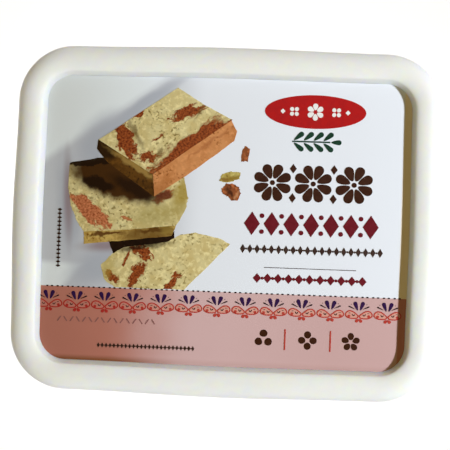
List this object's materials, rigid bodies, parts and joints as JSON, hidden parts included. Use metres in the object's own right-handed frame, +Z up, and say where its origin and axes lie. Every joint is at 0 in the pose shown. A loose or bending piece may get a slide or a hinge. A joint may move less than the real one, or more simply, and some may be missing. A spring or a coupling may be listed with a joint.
{
  "type": "tub of halva",
  "caption": "Shut, shallow plastic tub of halva with rounded corners, whose lid has a broad rolled rim and a sunken panel that holds a printed label.",
  "frame": {"origin": "middle of the base, at the underside of the foot", "axes": "+X along the longer side, to the right as the label is seen; +Y along the shorter side, towards the label's upper edge; +Z up through the lid"},
  "size_m": [0.136, 0.111, 0.032],
  "materials": {
    "tub_plastic": "satin, slightly translucent cream plastic",
    "lid_plastic": "semi-gloss, slightly translucent cream plastic",
    "label_film": "glossy printed film"
  },
  "bodies": {
    "root": {"tub": "tub_plastic", "lid": "lid_plastic", "label": "label_film"}
  },
  "joints": []
}
